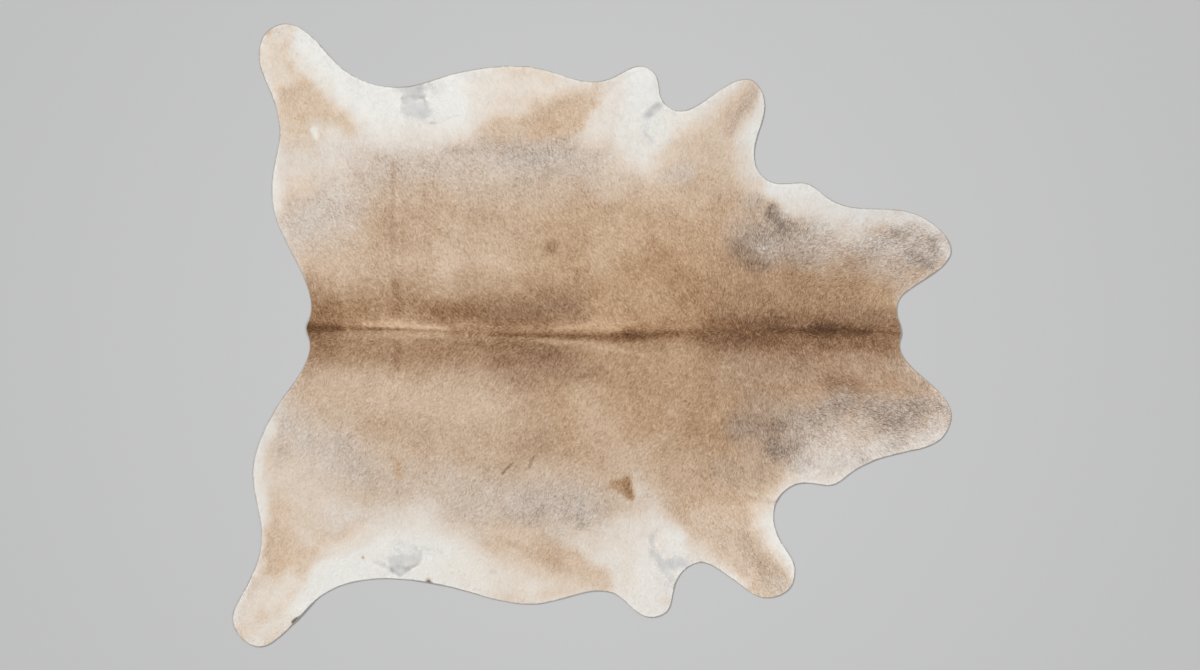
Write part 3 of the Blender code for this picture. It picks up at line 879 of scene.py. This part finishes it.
def makeMesh(name, corners, faces):
    mesh = bpy.data.meshes.new(name)
    mesh.vertices.add(len(corners))
    mesh.vertices.foreach_set("co", corners.astype(np.float32).ravel())
    mesh.loops.add(3 * len(faces))
    mesh.loops.foreach_set("vertex_index", faces.astype(np.int32).ravel())
    mesh.polygons.add(len(faces))
    mesh.polygons.foreach_set("loop_start", np.arange(0, 3 * len(faces), 3, dtype=np.int32))
    mesh.update(calc_edges=True)
    piece = bpy.data.objects.new(name, mesh)
    bpy.context.scene.collection.objects.link(piece)
    return piece


def addPigment(mesh, depths, ashes, bares, rims):
    # what the materials read: depth of colour, ash, bare skin and nearness to the cut edge
    attribute = mesh.color_attributes.new("pigment", "FLOAT_COLOR", "POINT")
    values = np.column_stack((depths, ashes, bares, rims))
    attribute.data.foreach_set("color", values.astype(np.float32).ravel())


def makeSheet():
    top, topFaces = fill(outline, sheetPoints(
        sheetShape["topEvery"], lambda points: nearSpine(points) | nearBareSkin(points)
    ))
    back, backFaces = fill(outline, sheetPoints(sheetShape["backEvery"], nearSpine))
    plane = np.vstack((top, back))
    heights = readMap(lift, plane)
    heights[:len(top)] += hideForm["skin"]
    corners = toFrame(plane, heights)
    count, shift = len(outline), len(top)
    ring = np.arange(count)
    ahead = (ring + 1) % count
    rim = np.vstack((
        np.column_stack((ring, ring + shift, ahead + shift)),
        np.column_stack((ring, ahead + shift, ahead)),
    ))
    nextAlong, nextSide = np.roll(outline, -1, 0).T
    area = outline[:, 0] @ nextSide - outline[:, 1] @ nextAlong  # twice, with its turn
    if area < 0:
        rim = rim[:, ::-1]
    faces = np.vstack((topFaces, backFaces[:, ::-1] + shift, rim))
    piece = makeMesh("hideSheet", corners, faces)
    mesh = piece.data
    slots = np.repeat((0, 1, 2), (len(topFaces), len(backFaces), len(rim)))
    for name in ("skinUnderHair", "suedeBack", "cutEdge"):
        mesh.materials.append(materials[name])
    mesh.polygons.foreach_set("material_index", slots.astype(np.int32))
    mesh.polygons.foreach_set("use_smooth", np.ones(len(faces), bool))
    mesh.set_sharp_from_angle(angle=math.radians(sheetShape["sharp"]))
    # marks the cut edge, where the skin's edge line is drawn, partly painted shadow under the edge
    rims = np.zeros(len(plane))
    rims[:count] = 1.0
    rims[shift:shift + count] = 1.0
    addPigment(mesh, readMap(depth, plane), readMap(ash, plane), readMap(bare, plane), rims)
    reach = np.array(bakeMap["reach"])
    spots = (corners[:, 1::-1] + reach) / (2 * reach)
    hairSide, backSide = (
        spots[faces.ravel()] * size + first
        for size, first in (bakeMap["hairSide"], bakeMap["backSide"])
    )
    cornerSlots = np.repeat(slots, 3)
    chosen = np.where(cornerSlots[:, None] > 0, backSide, hairSide)
    chosen[(faces.ravel() < shift) & (cornerSlots == 2), 1] += bakeMap["rimHeight"]
    layer = mesh.uv_layers.new(name="OFBake")
    layer.uv.foreach_set("vector", chosen.astype(np.float32).ravel())
    print("sheet:", len(faces), "triangles")
    return piece, abs(area) / 2e6  # square metres


# The hair: flat tapering blades, each a few hairs that cling together.
hair = {
    "pieces": ("hairRump", "hairLoin", "hairRibs", "hairShoulder", "hairNeck"),
    "blades": 160000,  # in each piece
    "length": (6.0, 10.0),
    "fullLength": 9.0,  # a blade this long rises fully, and a short one
    "leastRise": 0.3,  # by this share at least
    "width": (1.3, 2.0),
    "rise": (0.8, 1.9),  # of the tips over the skin
    "edgeRise": (6.0, 12.0, 0.35),  # at the cut edge: from, over how far, and least share
    "rootUp": 0.15,  # over the skin
    "floorUp": 0.2,
    "roll": 0.22,  # how far a blade leans on its side
    "stray": 0.26,  # how far its direction strays
    "ragged": (0.25, 8.0),  # how unevenly it thins out round the bare skin
    "worn": (0.05, 0.1, 0.6),  # bareness at which it gets uneven and thins, and the run to none
    "edge": (2.0, 1.3),  # the roots and the tips keep this far inside the cut edge
    "cutBack": 1.15,  # a blade that would pass it is shortened by this share of the way
    "shortest": 1.2,
    "coloured": (0.06, 0.42),  # depth where the coat has colour, and the run to full colour
    "roan": (0.40, 0.16),  # share of dark hairs where the coat is ash, and how much darker
    "roanFrom": (0.3, 0.5),  # ash where they begin, and the run to their full share
    "chance": 0.085,  # how much two neighbouring hairs differ
    "whiteChance": 0.15,  # the share of that where the coat is white
    "ashChance": 0.06,
    "lockTone": (0.075, 4.2),
    # deeper roots and paler tips: partly sun-bleached tips, partly painted shade among the roots
    "rootShadeAndBleach": 0.035,
    "paletteSpread": 0.006,  # a blade's own width on the map for the bake
    "paletteMargin": 0.02,
}

hairLie = {
    "along": (0, 1250, 1450, 1900),
    "ahead": (-0.75, -0.55, 0.15, 0.5),  # how far it points to the neck there, or the tail
    "parting": 45.0,  # it turns outwards over this distance from the spine
    "legTaper": 0.8,  # width at a leg's end
    "legSoft": 0.7,
    "legPull": (1.2, 0.85),  # how firmly a leg turns it
    "locks": ((0.36, 13.0), (0.18, 39.0)),  # how far locks of hair turn together, and size
}

# The hair follows each leg to its end: from along, from side, to along, to side, half width
legFlow = {
    "hind leg up": (20, 640, -90, 960, 120),
    "hind leg low": (-20, -680, -150, -990, 120),
    "fore leg up": (1310, 540, 1420, 790, 110),
    "fore leg low": (1330, -560, 1510, -830, 110),
    "flap up": (1080, 640, 1075, 840, 80),
    "flap low": (1090, -680, 1105, -900, 80),
    "neck lobe up": (1700, 230, 2040, 290, 110),
    "neck lobe low": (1700, -240, 2030, -310, 110),
}


def hairFlow(points):
    # directions: away from the spine and a little to the tail, then down the legs
    ahead = np.interp(points[:, 0], hairLie["along"], hairLie["ahead"])
    flow = np.column_stack((ahead, np.tanh(points[:, 1] / hairLie["parting"])))
    taper, soft = hairLie["legTaper"], hairLie["legSoft"]
    pull, share = hairLie["legPull"]
    for a0, s0, a1, s1, width in legFlow.values():
        cover = strokeCover(points, (a0, s0), (a1, s1), width, width * taper, soft)[:, None]
        run = np.array((a1 - a0, s1 - s0), float)
        flow += (run / np.linalg.norm(run) * pull - flow) * cover * share
    angle = np.arctan2(flow[:, 1], flow[:, 0])
    return angle + sum(
        turn * softNoise(points, size, seeds["locks"] + number)
        for number, (turn, size) in enumerate(hairLie["locks"])
    )


def hairRoots(total, rng):
    # an even but unordered spread of roots over the haired skin
    step = math.sqrt(float(inside.sum()) * plan["cell"] ** 2 / total)
    across = np.array(plan["count"]) * plan["cell"]
    along = np.arange(0.0, across[0], step)
    side = np.arange(0.0, across[1], step)
    spread = np.stack(np.meshgrid(along, side, indexing="ij"), axis=-1).reshape(-1, 2)
    spread += plan["low"] + rng.uniform(-0.5, 0.5, spread.shape) * step
    spread = spread[readMap(distance, spread) > hair["edge"][0]]
    worn = readMap(bare, spread)
    uneven, start, run = hair["worn"]
    strength, size = hair["ragged"]
    worn += strength * softNoise(spread, size, seeds["worn"]) * (worn > uneven)
    return spread[rng.random(len(spread)) > smoothStep((worn - start) / run)]


def growBlades(rng):
    # roots, directions, lengths and widths, from the tail to the neck
    sparse = 1
    roots = hairRoots(len(hair["pieces"]) * hair["blades"] // sparse, rng)
    roots = roots[np.argsort(roots[:, 0], kind="stable")]
    count = len(roots)
    angle = hairFlow(roots) + rng.normal(0.0, hair["stray"], count)
    forward = np.column_stack((np.cos(angle), np.sin(angle)))
    length = rng.uniform(*hair["length"], count)
    width = rng.uniform(*hair["width"], count) * math.sqrt(sparse)
    room = readMap(distance, roots + forward * length[:, None])
    over = np.maximum(hair["edge"][1] - room, 0.0)
    length = np.maximum(length - over * hair["cutBack"], hair["shortest"])
    return roots, forward, length, width


def bladeTones(roots, rng):
    # depth of colour and ash at the three corners of each blade
    count = len(roots)
    coatDepth, coatAsh = readMap(depth, roots), readMap(ash, roots)
    start, run = hair["coloured"]
    coloured = smoothStep((coatDepth - start) / run)
    lockTone, lockSize = hair["lockTone"]
    tone = hair["chance"] * rng.normal(0.0, 1.0, count)
    tone += lockTone * softNoise(roots, lockSize, seeds["lockTone"])
    share, darker = hair["roan"]
    start, run = hair["roanFrom"]
    greyed = np.clip((coatAsh - start) / run, 0.0, 1.0) * coloured
    isDark = rng.random(count) < share
    roan = np.where(isDark, darker, -darker * share / (1.0 - share)) * greyed
    white = hair["whiteChance"]
    bladeDepth = coatDepth + roan + tone * (white + (1.0 - white) * coloured)
    bladeDepth = np.clip(bladeDepth, 0.0, 1.0)
    bladeAsh = np.clip(coatAsh + rng.normal(0.0, hair["ashChance"], count), 0.0, 1.0)
    # painted shade among the roots, with sun-bleached tips
    deeper = hair["rootShadeAndBleach"] * coloured
    root, tip = bladeDepth + deeper, bladeDepth - deeper
    depths = np.clip(np.stack((root, root, tip), axis=1), 0.0, 1.0)
    return depths, np.stack((bladeAsh, bladeAsh, bladeAsh), axis=1)


def bladeHeights(roots, tips, length, width, rng):
    # of the same corners
    roll = rng.normal(0.0, hair["roll"], len(roots)) * width / 2
    tilt = rng.uniform(*hair["rise"], len(roots))
    tilt *= np.clip(length / hair["fullLength"], hair["leastRise"], 1.0)
    start, run, least = hair["edgeRise"]
    tilt *= np.clip((readMap(distance, tips) + start) / run, least, 1.0)
    rootLift = readMap(lift, roots) + hideForm["skin"] + hair["rootUp"]
    tipLift = readMap(lift, tips) + hideForm["skin"] + tilt
    heights = np.stack((rootLift - roll, rootLift + roll, tipLift), axis=1)
    return np.maximum(heights, hair["floorUp"])


def makeHair():
    rng = np.random.default_rng(seeds["hair"])
    roots, forward, length, width = growBlades(rng)
    tips = roots + forward * length[:, None]
    depths, ashes = bladeTones(roots, rng)
    heights = bladeHeights(roots, tips, length, width, rng)
    half = np.column_stack((-forward[:, 1], forward[:, 0])) * (width / 2)[:, None]
    plane = np.stack((roots - half, roots + half, tips), axis=1)
    # the map for the bake is a palette: each blade lies at its own depth and ash
    margin = hair["paletteMargin"]
    spread = hair["paletteSpread"] * np.array(((0, -1), (0, 1), (-1, 0)))
    spots = margin + (1 - 2 * margin) * (np.stack((depths, ashes), axis=-1) + spread)
    parts = np.array_split(np.arange(len(roots)), len(hair["pieces"]))
    pieces = []
    for name, part in zip(hair["pieces"], parts):
        corners = toFrame(plane[part].reshape(-1, 2), heights[part].ravel())
        none = np.zeros(len(corners))
        piece = makeMesh(name, corners, np.arange(len(corners)).reshape(-1, 3))
        mesh = piece.data
        mesh.materials.append(materials["cowHair"])
        addPigment(mesh, depths[part].ravel(), ashes[part].ravel(), none, none)
        layer = mesh.uv_layers.new(name="OFBake")
        layer.uv.foreach_set("vector", spots[part].astype(np.float32).ravel())
        pieces.append(piece)
        print(name + ":", len(part), "blades")
    return pieces


# Materials
def linear(tone):
    # an sRGB hex tone as linear numbers
    values = []
    for place in (0, 2, 4):
        value = int(tone[place:place + 2], 16) / 255
        values.append(value / 12.92 if value <= 0.04045 else ((value + 0.055) / 1.055) ** 2.4)
    return (*values, 1.0)


def setStops(ramp, stops):
    while len(ramp.elements) < len(stops):
        ramp.elements.new(0.5)
    for element, (place, tone) in zip(ramp.elements, stops):
        element.position = place
        element.color = linear(tone)


def addNode(tree, kind, settings):
    # a node with its settings, where an output given as a value is linked; gives its outputs
    node = tree.nodes.new("ShaderNode" + kind)
    for name, value in settings.items():
        if isinstance(value, bpy.types.NodeSocket):
            tree.links.new(value, node.inputs[name])
        elif name == "stops":
            setStops(node.color_ramp, value)
        elif isinstance(name, int) or name in node.inputs:
            node.inputs[name].default_value = value
        else:
            setattr(node, name, value)
    return node.outputs


def newMaterial(name):
    material = bpy.data.materials.new(name)
    material.use_nodes = True
    material.node_tree.nodes.clear()
    return material, material.node_tree


# tones of tan hair and of hair greyed with ash, each a tenth of full depth deeper
coatTones = {
    "tan": (
        "e5e6e2", "e2dcd2", "dfd1c0", "dcc8b1", "d5bb9d", "c8a989",
        "b49472", "9d7653", "7c5430", "5c3a1c", "3a220f",
    ),
    "ash": (
        "e5e6e5", "dfdedb", "d9d5d0", "cfc6be", "c4b8ad", "b4a69b",
        "9f9083", "897a6d", "6b5a4b", "504034", "33271f",
    ),
}


def coatColour(tree, shadeAndStreakShift=None):
    # the coat's colour from the pigment that each point carries
    pigment = addNode(tree, "Attribute", {"attribute_name": "pigment"})
    parts = addNode(tree, "SeparateColor", {"Color": pigment["Color"]})
    depthOut = parts["Red"]
    if shadeAndStreakShift:
        depthOut = addNode(tree, "Math", {"operation": "ADD", 0: depthOut, 1: shadeAndStreakShift})[0]
    tones = {}
    for name, steps in coatTones.items():
        stops = [(step / 10, tone) for step, tone in enumerate(steps)]
        tones[name] = addNode(tree, "ValToRGB", {"Fac": depthOut, "stops": stops})["Color"]
    mixed = addNode(
        tree, "Mix",
        {"data_type": "RGBA", 0: parts["Green"], 6: tones["tan"], 7: tones["ash"]},
    )
    return mixed[2], parts, pigment["Alpha"]


def makeCowHair():
    # Cow hair, grown, washed and combed flat: keratin, so a soft satin gloss that slides
    # along the lie of the coat. The tone changes from hair to hair, and along each blade it is
    # deeper at the root: partly sun-bleached tips, partly painted shade among the roots.
    material, tree = newMaterial("cowHair")
    shader = addNode(
        tree, "BsdfPrincipled",
        {"Base Color": coatColour(tree)[0], "Roughness": 0.50, "IOR": 1.55,
         "Specular IOR Level": 0.22, "Sheen Weight": 0.03, "Sheen Roughness": 0.4},
    )
    addNode(tree, "OutputMaterial", {"Surface": shader[0]})
    return material


def makeSkinUnderHair():
    # Chrome-tanned cattle skin on its hair side. Under the coat it shows only between the
    # hairs, so it carries their tone a little deeper, as painted shade between the hairs; where
    # it is bare it is a pale grey grain leather with fine wrinkles. Hair streaks are 1.2 mm
    # wide and drawn 3 mm, as coarse as they need to show.
    material, tree = newMaterial("skinUnderHair")
    place = addNode(tree, "TexCoord", {})["Object"]
    stretch = addNode(
        tree, "Mapping", {"Vector": place, "Scale": (1000 / 3.0, 1000 / 11.0, 1000 / 3.0)}
    )
    streaks = addNode(
        tree, "TexNoise",
        {"Vector": stretch["Vector"], "Scale": 1.0, "Detail": 2.0, "Roughness": 0.55},
    )["Fac"]
    # the streaks, and on average a little deeper than the coat: painted shade between the hairs
    shift = addNode(
        tree, "Math", {"operation": "MULTIPLY_ADD", 0: streaks, 1: 0.16, 2: -0.045}
    )
    colour, parts, rim = coatColour(tree, shift[0])
    worn = parts["Blue"]
    blotches = addNode(
        tree, "TexNoise",
        {"Vector": place, "Scale": 1000 / 26.0, "Detail": 4.0, "Roughness": 0.6},
    )
    # bare skin is greyer where the coat is deeper: soiling, and the painted shade in its creases
    soilingAndCreaseShade = addNode(
        tree, "Math",
        {"operation": "MULTIPLY_ADD", 0: parts["Red"], 1: -1.1, 2: blotches["Fac"]},
    )
    bareTone = addNode(
        tree, "ValToRGB",
        {"Fac": soilingAndCreaseShade[0],
         "stops": ((0.0, "7f7f7b"), (0.22, "a2a2a0"), (0.42, "b2b2b1"), (0.62, "bcbcbb"))},
    )
    skinTone = addNode(
        tree, "Mix", {"data_type": "RGBA", 0: worn, 6: colour, 7: bareTone["Color"]}
    )
    # along the cut edge a narrow grey-brown line: partly the bare skin that the knife leaves,
    # grey-brown with handling, partly painted shadow under the edge
    edgeLineAndShadow = addNode(tree, "MapRange", {"Value": rim, "From Min": 0.55, "From Max": 0.75})
    mixed = addNode(
        tree, "Mix",
        {"data_type": "RGBA", 0: edgeLineAndShadow["Result"], 6: skinTone[2], 7: linear("8f887d")},
    )
    wrinkles = addNode(
        tree, "TexVoronoi",
        {"Vector": place, "Scale": 1000 / 5.0, "feature": "DISTANCE_TO_EDGE"},
    )
    skinHeight = addNode(
        tree, "MapRange", {"Value": wrinkles["Distance"], "From Max": 0.25, "To Max": 0.35}
    )
    height = addNode(
        tree, "Mix", {"data_type": "FLOAT", 0: worn, 2: streaks, 3: skinHeight["Result"]}
    )
    bump = addNode(tree, "Bump", {"Height": height[0], "Strength": 0.5, "Distance": 0.0006})
    shader = addNode(
        tree, "BsdfPrincipled",
        {"Base Color": mixed[2], "Normal": bump["Normal"], "Roughness": 0.62, "IOR": 1.5,
         "Specular IOR Level": 0.4},
    )
    addNode(tree, "OutputMaterial", {"Surface": shader[0]})
    return material


def makeSuede(name, tones, napSize):
    # Suede, the split flesh side of the skin, buffed: matt, with a short nap that lies
    # this way and that in cloudy patches.
    material, tree = newMaterial(name)
    place = addNode(tree, "TexCoord", {})["Object"]
    clouds, nap = (
        addNode(
            tree, "TexNoise",
            {"Vector": place, "Scale": 1000 / size, "Detail": detail, "Roughness": rough},
        )["Fac"]
        for size, detail, rough in ((90.0, 5.0, 0.6), (napSize, 3.0, 0.7))
    )
    blend = addNode(tree, "Mix", {"data_type": "FLOAT", 0: 0.45, 2: clouds, 3: nap})
    tone = addNode(tree, "ValToRGB", {"Fac": blend[0], "stops": tones})
    bump = addNode(tree, "Bump", {"Height": nap, "Strength": 0.6, "Distance": 0.0004})
    shader = addNode(
        tree, "BsdfPrincipled",
        {"Base Color": tone["Color"], "Normal": bump["Normal"], "Roughness": 0.93,
         "IOR": 1.5, "Specular IOR Level": 0.2, "Sheen Weight": 0.25, "Sheen Roughness": 0.6},
    )
    addNode(tree, "OutputMaterial", {"Surface": shader[0]})
    return material


def makeFloorWithPaintedFalloff():
    # Matt painted studio floor: even pale grey, with a painted fall-off of light that makes it a
    # little greyer away from the middle.
    material, tree = newMaterial("floorPaintedFalloff")
    place = addNode(tree, "TexCoord", {})["Object"]
    away = addNode(tree, "VectorMath", {"operation": "LENGTH", 0: place})
    share = addNode(
        tree, "MapRange", {"Value": away["Value"], "From Min": 0.8, "From Max": 4.0}
    )
    # painted fall-off of light: greyer away from the middle
    tone = addNode(
        tree, "ValToRGB",
        {"Fac": share["Result"], "stops": ((0.0, "b1b1b1"), (0.35, "ababab"), (1.0, "a4a4a4"))},
    )
    shader = addNode(
        tree, "BsdfPrincipled",
        {"Base Color": tone["Color"], "Roughness": 0.8, "Specular IOR Level": 0.2},
    )
    addNode(tree, "OutputMaterial", {"Surface": shader[0]})
    return material


materials = {
    "cowHair": makeCowHair(),
    "skinUnderHair": makeSkinUnderHair(),
    "suedeBack": makeSuede(
        "suedeBack", ((0.30, "b7a68d"), (0.50, "c6b79f"), (0.70, "d2c5b0")), 3.0
    ),
    "cutEdge": makeSuede(
        "cutEdge", ((0.30, "bdb3a4"), (0.50, "cbc2b4"), (0.70, "d6cfc3")), 1.5
    ),
    "floorPaintedFalloff": makeFloorWithPaintedFalloff(),
}
print("materials made")

sheet, sheetArea = makeSheet()
locks = makeHair()
for piece in (sheet, *locks):
    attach(piece, "root")
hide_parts("hide")

# Camera straight above, as in the photograph, and a soft studio.
studio = {
    "lens": 85.0,
    "sensor": 36.0,
    "seenWidth": 3.84,  # metres of floor across the picture
    "middle": (0.0256, 0.0013),
    "floorSize": 80.0,
    "coatTop": 0.004,  # what the camera's distance is measured from
    "floorDrop": 0.0004,  # keeps the floor clear of the underside
    "air": ("f2f3f4", 0.40),  # tone and strength of the light from all round
    "lamps": {  # where they shine from, how wide they look in degrees, strength
        "windowLamp": ((-5.0, 4.4, 5.6), 14.0, 2.95),
        "fillLamp": ((5.0, -1.5, 7.5), 40.0, 1.25),
    },
}


def makeStudio():
    scene = bpy.context.scene
    camera = bpy.data.cameras.new("cameraAbove")
    camera.lens = studio["lens"]
    camera.sensor_width = studio["sensor"]
    holder = bpy.data.objects.new("cameraAbove", camera)
    height = studio["seenWidth"] * studio["lens"] / studio["sensor"]
    holder.location = (*studio["middle"], height + studio["coatTop"])
    scene.collection.objects.link(holder)
    scene.camera = holder

    half = studio["floorSize"] / 2
    floor = bpy.data.meshes.new("studioFloor")
    corners = [(-half, -half, 0), (half, -half, 0), (half, half, 0), (-half, half, 0)]
    floor.from_pydata(corners, [], [(0, 1, 2, 3)])
    floor.materials.append(materials["floorPaintedFalloff"])
    floorPiece = bpy.data.objects.new("studioFloor", floor)
    floorPiece.location.z = -studio["floorDrop"]
    scene.collection.objects.link(floorPiece)

    for name, (place, width, strength) in studio["lamps"].items():
        lamp = bpy.data.lights.new(name, "SUN")
        lamp.angle = math.radians(width)
        lamp.energy = strength
        lampHolder = bpy.data.objects.new(name, lamp)
        lampHolder.location = place
        lampHolder.rotation_euler = (-Vector(place)).to_track_quat("-Z", "Y").to_euler()
        scene.collection.objects.link(lampHolder)

    world = bpy.data.worlds.new("studioAir")
    world.use_nodes = True
    background = world.node_tree.nodes["Background"]
    tone, strength = studio["air"]
    background.inputs["Color"].default_value = linear(tone)
    background.inputs["Strength"].default_value = strength
    scene.world = world
    scene.view_settings.view_transform = "Standard"
    scene.view_settings.look = "None"


makeStudio()
print("studio made")
